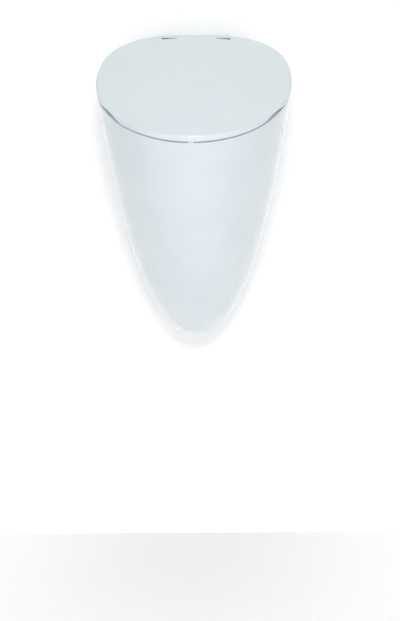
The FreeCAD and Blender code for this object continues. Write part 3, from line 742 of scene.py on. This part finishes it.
class Finishes:
    """The finishes of the object's record slots, each made once."""

    plans: dict[str, Finish] = {
        "ceramic": GlazeFinish(
            "white glaze", (0.78, 0.86, 0.892, 1.0), (0.757, 0.84, 0.876, 1.0), roughness=0.05,
            relief=Effect.RIPPLE, relief_inputs=GLAZE_RIPPLE, relief_depth=0.0006, relief_strength=0.05,
            coat=0.5, residue=0.08),
        # lid_plastic: the lid's own white moulding colour, partly painted light: made lighter than the glaze
        # to stand in for light on the lid's top
        "lid_plastic": Finish(
            "white lid moulding with painted light", (0.818, 0.902, 0.932, 1.0), (0.804, 0.890, 0.923, 1.0), roughness=0.14,
            relief=Effect.RIPPLE, relief_inputs=LID_RIPPLE, relief_depth=0.0004, residue=0.1),
        "clear_rubber": Finish(
            "milky pad", (0.88, 0.92, 0.93, 1.0), (0.84, 0.88, 0.90, 1.0), roughness=0.3,
            relief=Effect.GRAIN, relief_strength=0.15, translucency=0.1),
        "black_rubber": Finish(
            "black rubber", grey(0.022), grey(0.035), roughness=0.55,
            relief=Effect.GRAIN, relief_inputs={"Scale": 1800.0}, relief_strength=0.3),
        "grey_plastic": Finish(
            "grey moulding", grey(0.42, 0.02), grey(0.37, 0.02), roughness=0.38,
            relief=Effect.GRAIN, relief_strength=0.2),
        "trap_plastic": Finish(
            "pale trap moulding", grey(0.70, 0.01), grey(0.64, 0.01), roughness=0.3,
            relief=Effect.GRAIN, relief_inputs={"Scale": 1100.0}, relief_strength=0.15),
        # hinge_metal: the knuckles' near-black colour is painted shade, standing in for the shade deep in the
        # lid's hinge slots
        "hinge_metal": Finish(
            "hinge knuckle painted shade", grey(0.035, 0.02), grey(0.028, 0.02), roughness=0.42,
            relief=Effect.GRAIN, relief_inputs={"Scale": 1300.0}, relief_strength=0.2),
        "chrome": Finish(
            "chrome plating", grey(0.78, 0.01), grey(0.72, 0.01), roughness=0.05, relief=Effect.RIPPLE,
            relief_inputs={"Peel scale": 1500.0}, relief_depth=0.0002, relief_strength=0.05, metallic=1.0),
        "steel": Finish(
            "stainless steel", grey(0.56, 0.01), grey(0.48, 0.01), roughness=0.24,
            relief=Effect.BRUSHING, relief_strength=0.25, metallic=1.0),
    }

    def __init__(self) -> None:
        """Make the shared groups and every finish."""
        for maker in (make_ripple, make_mottle, make_residue, make_brushing, make_grain):
            maker()
        self.by_slot = {slot: plan.build() for slot, plan in self.plans.items()}

    def dress(self, piece: Piece, slot: str) -> None:
        """Give a piece the finish of a slot of the record."""
        piece.data.materials.clear()
        piece.data.materials.append(self.by_slot[slot])

    def dress_nodes(self, *nodes: str) -> None:
        """Give CAD nodes that stay in view the finish of their slot.

        Args:
            nodes: names of the CAD nodes.
        """
        for node in nodes:
            self.dress(FRAME["nodes"][node], SLOTS[node])
            LOG.info("%s stays, in %s", node, SLOTS[node])

    def present(self, piece: Piece, body: Body, node: str, crease: float = SOFT_CREASE) -> None:
        """Shade a new piece, give it its finish and let it stand for a CAD node.

        Args:
            piece: the new piece.
            body: body that the piece rides on.
            node: CAD node that it stands for.
            crease: angle in degrees above which an edge stays sharp.
        """
        slot = SLOTS[node]
        shade(piece, crease)
        self.dress(piece, slot)
        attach(piece, body.value)
        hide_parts(node)
        LOG.info("%s stands for %s, in %s", piece.name, node, slot)


# ---------------------------------------------------------------- sub-assemblies


@dataclass
class Ceramic:
    """The glazed ceramic with its bowl."""

    finishes: Finishes

    def build(self) -> None:
        """Dress the ceramic."""
        self.finishes.dress_nodes("bowl_body")


@dataclass
class Lid:
    """The lid's shell and the soft pads under its skirt."""

    finishes: Finishes
    pad_width: float = 9.0
    pad_length: float = 6.0
    pad_height: float = 2.2
    pad_round: float = 0.7
    pad_corner: float = 0.4
    pad_steps: int = 32
    front_reach: float = 2.3

    def outline(self, height: float, inset: float, reach: float) -> list[Vector]:
        """Rounded rectangle of a pad at one height.

        Args:
            height: height above the pad's middle.
            inset: how far it lies inside the widest outline, per radius of the pad's edges.
            reach: how much longer than the others the pad is.

        Returns:
            The places round it.
        """
        wide = self.pad_width / 2.0 - inset * self.pad_round
        long = (self.pad_length + reach) / 2.0 - inset * self.pad_round
        places = []
        for turn in turns(self.pad_steps):
            across, along = math.cos(turn), math.sin(turn)
            places.append(Vector((wide * math.copysign(abs(across) ** self.pad_corner, across),
                                  long * math.copysign(abs(along) ** self.pad_corner, along), height)))
        return places

    def pad(self, node: str) -> None:
        """Soft pad with rounded edges in the place of a CAD one.

        Args:
            node: the CAD pad that it stands for.
        """
        reach = self.front_reach if node == "front_buffer" else 0.0
        low, high = (Vector(corner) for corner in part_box(node))
        middle = (low + high) / (2.0 * MM)
        forward = Matrix.Translation((0.0, -reach / 2.0, 0.0))
        base = Matrix.Scale(MM, 4) @ Matrix.Translation(middle) @ DECK.tilt(-middle.y) @ forward
        half = self.pad_height / 2.0
        levels = [[base @ place for place in self.outline(height, inset, reach)]
                  for height, inset in ((-half, 1.0), (-half + ROUND_START * self.pad_round, ROUND_START),
                                        (-half + self.pad_round, 0.0), (half, 0.0))]
        draft = MeshDraft()
        draft.stack(levels, base @ on_axis(-half), base @ on_axis(half))
        self.finishes.present(draft.build(f"{node}_pad"), Body.LID, node, crease=50.0)

    def build(self) -> None:
        """Dress the shell and make the three pads."""
        self.finishes.dress_nodes("lid_shell")
        for node in ("front_buffer", "side_buffer_left", "side_buffer_right"):
            self.pad(node)


@dataclass
class Hinge:
    """One hinge: what stands on the deck, and the stud and nut that hold it."""

    finishes: Finishes
    side: str
    stud_radius: float = 3.0
    stud_top: float = 7.9
    stud_length: float = 40.0
    stud_pitch: float = 1.0
    rosette_inner: float = 3.2
    rosette_outer: float = 10.0
    rosette_low: float = 0.1
    rosette_high: float = 1.9
    rosette_edge: float = 0.6
    washer_inner: float = 3.2
    washer_outer: float = 8.5
    washer_low: float = -17.6
    washer_high: float = -16.1
    washer_edge: float = 0.3
    hub: tuple[Pair, ...] = ((2.7, -17.6), (5.2, -17.6), (5.5, -17.9), (5.1, -24.2), (4.7, -24.6),
                             (2.7, -24.6))
    wing: tuple[Pair, ...] = ((3.4, -20.9), (6.4, -20.8), (9.6, -21.8), (11.4, -23.6), (11.9, -25.4),
                              (11.7, -26.9), (10.8, -27.5), (9.4, -27.2), (7.6, -25.9), (5.6, -24.6),
                              (3.4, -24.2))
    wing_thick: float = 2.4
    wing_edge: float = 0.7

    def base(self) -> Matrix:
        """Placement of the hinge on the deck."""
        return DECK.hinge(SIDES[self.side])

    def present(self, piece: Piece, node: str, crease: float = SOFT_CREASE) -> None:
        """Let a new piece stand for one of this side's nodes on the bowl."""
        self.finishes.present(piece, Body.BOWL, f"{node}_{self.side}", crease)

    def stud(self) -> None:
        """Threaded stud through the deck."""
        down = self.base() @ Matrix.Translation((0.0, 0.0, self.stud_top)) @ Matrix.Rotation(math.pi, 4, "X")
        stud = threaded(f"threaded_stud_{self.side}", down, self.stud_radius, self.stud_pitch,
                        self.stud_length)
        self.present(stud, "hinge_stud", crease=70.0)

    def rosette(self) -> None:
        """Cover ring between the knuckle and the deck."""
        ring = annulus(f"cover_ring_{self.side}", self.base(), self.rosette_inner, self.rosette_outer,
                       self.rosette_low, self.rosette_high, self.rosette_edge)
        self.present(ring, "hinge_rosette")

    def washer(self) -> None:
        """Washer above the wing nut."""
        washer = annulus(f"pressed_washer_{self.side}", self.base(), self.washer_inner, self.washer_outer,
                         self.washer_low, self.washer_high, self.washer_edge)
        self.present(washer, "stud_washer")

    def nut(self) -> None:
        """Moulded wing nut."""
        base = self.base()
        nut = revolved(f"moulded_nut_{self.side}", base, self.hub)
        for sign in SIDES.values():
            outline = [(sign * x, z) for x, z in self.wing]
            carve(nut, slab("wing", base, outline, self.wing_thick, self.wing_edge), Carving.JOIN)
        self.present(nut, "wing_nut", crease=40.0)

    def build(self) -> None:
        """Make and dress the pieces of the hinge."""
        stays = ("hinge_knuckle", "hinge_cap", "hinge_spindle", "soft_close_damper", "stud_bushing")
        self.finishes.dress_nodes(*(f"{node}_{self.side}" for node in stays))
        self.stud()
        self.rosette()
        self.washer()
        self.nut()


@dataclass
class WallFixing:
    """One flanged bush in a wall fixing hole."""

    finishes: Finishes
    side: str

    def build(self) -> None:
        """Dress the bush."""
        self.finishes.dress_nodes(f"fixing_bush_{self.side}")


@dataclass
class FlushInlet:
    """Spud, seals and spreader of the flush inlet."""

    finishes: Finishes

    def build(self) -> None:
        """Dress the pieces of the inlet."""
        self.finishes.dress_nodes("inlet_spud", "inlet_lip_seal", "inlet_gasket", "spreader_gasket",
                                  "flush_spreader")


@dataclass
class Outlet:
    """Sieve in the bowl's floor with the screw that holds it to the trap."""

    finishes: Finishes
    depth: float = 106.0
    screw_top: float = 124.0
    screw_length: float = 34.0
    head: tuple[Pair, ...] = ((0.8, 0.0), (2.4, 0.12), (3.9, 0.4), (5.1, 0.9), (5.8, 1.6), (6.0, 2.3),
                              (6.0, 2.7), (5.8, 3.0))
    head_steps: int = 48
    recess_length: float = 5.6
    recess_width: float = 1.2
    recess_above: float = 1.0
    recess_wall: float = 0.6
    recess_depth: float = 1.7
    recess_edge: float = 0.05
    thread_radius: float = 3.0
    thread_pitch: float = 1.0
    overlap: float = 0.2

    def recess(self) -> list[Pair]:
        """Outline of one slot of the cross recess, which narrows to half its length at the bottom."""
        half = self.recess_length / 2.0
        return [(-half, -self.recess_above), (half, -self.recess_above), (half, self.recess_wall),
                (half / 2.0, self.recess_depth), (-half / 2.0, self.recess_depth), (-half, self.recess_wall)]

    def screw(self) -> None:
        """Screw with a domed head, a cross recess and a thread."""
        down = Vector((0.0, 0.0, -1.0))
        base = upright(0.0, self.depth, self.screw_top, down)
        screw = turned("cross_screw", base, self.head, self.head_steps)
        for quarter in (0.0, math.pi / 2.0):
            place = base @ Matrix.Rotation(quarter, 4, "Z")
            slot = slab("recess", place, self.recess(), self.recess_width, self.recess_edge)
            carve(screw, slot, Carving.CUT)
        below_head = self.head[-1][1] - self.overlap
        start = upright(0.0, self.depth, self.screw_top - below_head, down)
        shank = threaded("screw_shank", start, self.thread_radius, self.thread_pitch,
                         self.screw_length - below_head)
        carve(screw, shank, Carving.JOIN)
        self.finishes.present(screw, Body.BOWL, "strainer_screw", crease=45.0)

    def build(self) -> None:
        """Dress the sieve and its gasket, and make the screw."""
        self.finishes.dress_nodes("outlet_strainer", "outlet_gasket")
        self.screw()


@dataclass
class Trap:
    """Trap behind the bowl."""

    finishes: Finishes

    def build(self) -> None:
        """Dress the trap and the seal in its socket."""
        self.finishes.dress_nodes("trap_body", "waste_lip_seal")


# ---------------------------------------------------------------- studio


@dataclass(frozen=True)
class Lamp:
    """One soft area lamp, aimed at a place."""

    name: str
    place: Triple
    aim: Triple
    width: float
    height: float
    power: float

    def build(self) -> None:
        """Make the lamp and turn it to its aim."""
        data = bpy.data.lights.new(self.name, "AREA")
        data.shape = "RECTANGLE"
        data.size = self.width
        data.size_y = self.height
        data.energy = self.power
        lamp = bpy.data.objects.new(self.name, data)
        lamp.location = self.place
        lamp.rotation_euler = (Vector(self.aim) - Vector(self.place)).to_track_quat("-Z", "Y").to_euler()
        bpy.context.scene.collection.objects.link(lamp)


@dataclass(frozen=True)
class Lobe:
    """Soft light that comes from one side of the world."""

    toward: Triple
    strength: float

    def add_to(self, wiring: Wiring, light: object) -> Socket:
        """Add this light to the world's.

        Args:
            wiring: the world's nodes.
            light: strength of the light so far.

        Returns:
            Strength with this light, which grows with the square of the cosine to its direction.
        """
        facing = wiring.node("VectorMath", operation="DOT_PRODUCT")
        wiring.feed(facing.inputs[0], wiring.node("TexCoord").outputs["Generated"])
        wiring.feed(facing.inputs[1], Vector(self.toward).normalized())
        ahead = wiring.math("MAXIMUM", facing.outputs["Value"], 0.0)
        lobe = wiring.math("MULTIPLY", wiring.math("MULTIPLY", ahead, ahead), self.strength)
        return wiring.math("ADD", light, lobe)


@dataclass(frozen=True)
class Paint:
    """Matt white paint of the stage, with painted shade that may darken round the middle of the floor.

    The glow is seen by the camera and in reflections on top of the diffuse white, and its bounce is
    the share of it that also lights the object.
    """

    name: str
    glow: float
    bounce: float
    white: float
    # shade is the grey of the painted shade below the object; stretch and offset size and place it
    shade: float
    stretch: Triple = (2.3, 1.6, 1.0)
    offset: Triple = (0.0, 0.16, 0.75)

    def tint(self, wiring: Wiring) -> Socket:
        """Colour of the paint, with its painted shade below the object.

        Args:
            wiring: the material's nodes.

        Returns:
            The colour.
        """
        stretch = wiring.node("Mapping")
        stretch.inputs["Scale"].default_value = self.stretch
        stretch.inputs["Location"].default_value = self.offset
        wiring.feed(stretch.inputs["Vector"], wiring.place())
        # spherical gradient that paints the shade round the middle of the floor
        painted_shade_ball = wiring.node("TexGradient", gradient_type="SPHERICAL")
        wiring.feed(painted_shade_ball.inputs[0], stretch.outputs[0])
        painted_shade_share = wiring.ramp(painted_shade_ball.outputs["Fac"], low=0.0, high=1.0)
        return wiring.blend(painted_shade_share, grey(self.white), grey(self.shade))

    def build(self) -> bpy.types.Material:
        """Make the material.

        Returns:
            The new material.
        """
        material = bpy.data.materials.new(self.name)
        material.use_nodes = True
        material.node_tree.nodes.clear()
        wiring = Wiring(material.node_tree)
        matt = wiring.node("BsdfDiffuse")
        wiring.feed(matt.inputs["Color"], self.tint(wiring))
        path = wiring.node("LightPath").outputs
        seen = wiring.math("MAXIMUM", path["Is Camera Ray"], path["Is Glossy Ray"])
        share = wiring.math("MAXIMUM", seen, self.bounce)
        lift = wiring.node("Emission")
        wiring.feed(lift.inputs["Strength"], wiring.math("MULTIPLY", share, self.glow))
        both = wiring.node("AddShader")
        wiring.feed(both.inputs[0], matt.outputs[0])
        wiring.feed(both.inputs[1], lift.outputs[0])
        wiring.feed(wiring.node("OutputMaterial").inputs["Surface"], both.outputs[0])
        return material


@dataclass
class Studio:
    """White wall and floor, soft lamps and the camera."""

    wall_gap: float = 0.0015
    wall_top: float = 3.0
    half_width: float = 4.0
    floor_height: float = -0.7548
    floor_slope: float = 0.0185
    floor_reach: float = 6.0
    ambient: float = 0.03
    wall_paint: Paint = Paint("wall paint", glow=0.25, bounce=0.0, white=0.90, shade=0.90)
    # the floor's shade of 0.74 is painted shade round its middle, below the object
    floor_paint: Paint = Paint("floor paint", glow=0.28, bounce=0.75, white=0.90, shade=0.74)
    camera_place: Triple = (0.0918, -3.0, 0.446)
    camera_tilt: float = 75.0
    camera_pan: float = 1.658
    lens: float = 108.09
    sensor: float = 36.0
    lobes: tuple[Lobe, ...] = (
        Lobe(toward=(0.0, -0.6, 0.8), strength=0.60),
    )
    lamps: tuple[Lamp, ...] = (
        Lamp("Level lamp", place=(0.3, -3.4, 0.0), aim=(0.0, -0.15, 0.0), width=0.8, height=0.6, power=9.0),
        Lamp("High lamp", place=(0.1, -3.0, 1.5), aim=(0.0, -0.15, 0.0), width=0.75, height=0.6, power=39.5),
    )

    def sheet(self, name: str, corners: Sequence[Triple], paint: Paint) -> None:
        """Make one flat sheet of the stage.

        Args:
            name: name of the sheet.
            corners: its four corners, in order.
            paint: what it is painted with.
        """
        mesh = bpy.data.meshes.new(name)
        mesh.from_pydata(corners, [], [(0, 1, 2, 3)])
        mesh.materials.append(paint.build())
        piece = bpy.data.objects.new(name, mesh)
        bpy.context.scene.collection.objects.link(piece)

    def backdrop(self) -> None:
        """Wall behind the object and floor below it, which falls a little to the left."""
        x = self.half_width
        y = self.wall_gap
        top = self.wall_top
        front = -self.floor_reach
        left, right = (self.floor_height + side * self.floor_slope * x for side in SIDES.values())
        self.sheet("stage_wall", [(-x, y, left), (x, y, right), (x, y, top), (-x, y, top)], self.wall_paint)
        self.sheet("stage_floor", [(-x, front, left), (x, front, right), (x, y, right), (-x, y, left)],
                   self.floor_paint)

    def world(self) -> None:
        """Soft light from all round and more of it from the front, pure white where the camera looks."""
        world = bpy.data.worlds.new("studio air")
        bpy.context.scene.world = world
        world.use_nodes = True
        wiring = Wiring(world.node_tree)
        air = world.node_tree.nodes["Background"]
        path = wiring.node("LightPath").outputs
        seen = wiring.math("MAXIMUM", path["Is Camera Ray"], path["Is Transmission Ray"])
        light: object = self.ambient
        for lobe in self.lobes:
            light = lobe.add_to(wiring, light)
        hidden = wiring.math("MULTIPLY", wiring.math("SUBTRACT", 1.0, seen), light)
        air.inputs["Color"].default_value = grey(1.0)
        wiring.feed(air.inputs["Strength"], wiring.math("ADD", seen, hidden))

    def camera(self) -> None:
        """Camera that matches the photograph."""
        data = bpy.data.cameras.new("Camera")
        data.sensor_fit = "VERTICAL"
        data.sensor_height = self.sensor
        data.lens = self.lens
        camera = bpy.data.objects.new("Camera", data)
        camera.location = self.camera_place
        camera.rotation_euler = (math.radians(self.camera_tilt), 0.0, math.radians(self.camera_pan))
        bpy.context.scene.collection.objects.link(camera)
        bpy.context.scene.camera = camera

    def build(self) -> None:
        """Make the whole studio."""
        self.backdrop()
        self.world()
        for lamp in self.lamps:
            lamp.build()
        self.camera()
        bpy.context.scene.view_settings.view_transform = "Standard"
        LOG.info("the studio stands, with %d lamps", len(self.lamps))


# ---------------------------------------------------------------- the whole scene


def main() -> None:
    """Build the studio and every sub-assembly."""
    logging.basicConfig(level=logging.INFO, format="%(name)s: %(message)s")
    Studio().build()
    finishes = Finishes()
    Ceramic(finishes).build()
    Lid(finishes).build()
    for side in SIDES:
        Hinge(finishes, side).build()
        WallFixing(finishes, side).build()
    FlushInlet(finishes).build()
    Outlet(finishes).build()
    Trap(finishes).build()


if __name__ == "__main__":
    main()
